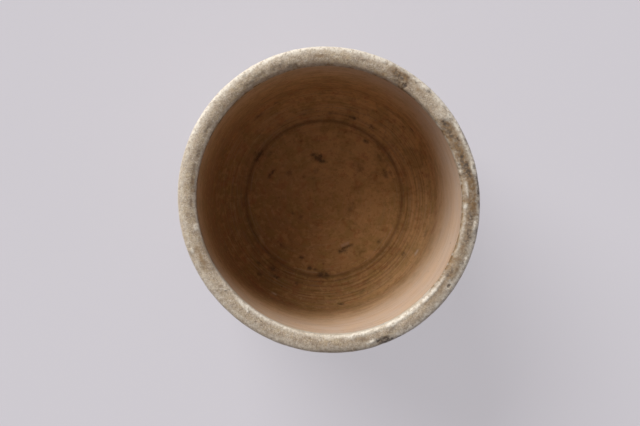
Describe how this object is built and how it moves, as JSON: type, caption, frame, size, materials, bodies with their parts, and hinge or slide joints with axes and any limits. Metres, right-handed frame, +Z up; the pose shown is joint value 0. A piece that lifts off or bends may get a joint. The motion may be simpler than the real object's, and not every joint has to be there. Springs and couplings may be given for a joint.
{
  "type": "tripod incense burner",
  "caption": "Thrown cylindrical ceramic bowl with a thick rounded mouth and turned string ribs, bare clay inside, raised on short cloud feet, for burning incense in ash.",
  "frame": {"origin": "on the table under the middle of the bowl, at the level of the feet's pads", "axes": "+Z up along the bowl's axis, towards the open mouth; -Y towards the foot that faces the user"},
  "size_m": [0.1392, 0.1408, 0.108],
  "materials": {
    "ivory_glaze": "worn cream-grey crackled glaze with grime in its pits",
    "bare_clay": "unglazed buff clay with fine wheel lines"
  },
  "bodies": {
    "root": {"bowl_body": "ivory_glaze", "floor_disc": "bare_clay", "foot_front": "ivory_glaze", "foot_right": "ivory_glaze", "foot_left": "ivory_glaze"}
  },
  "joints": []
}
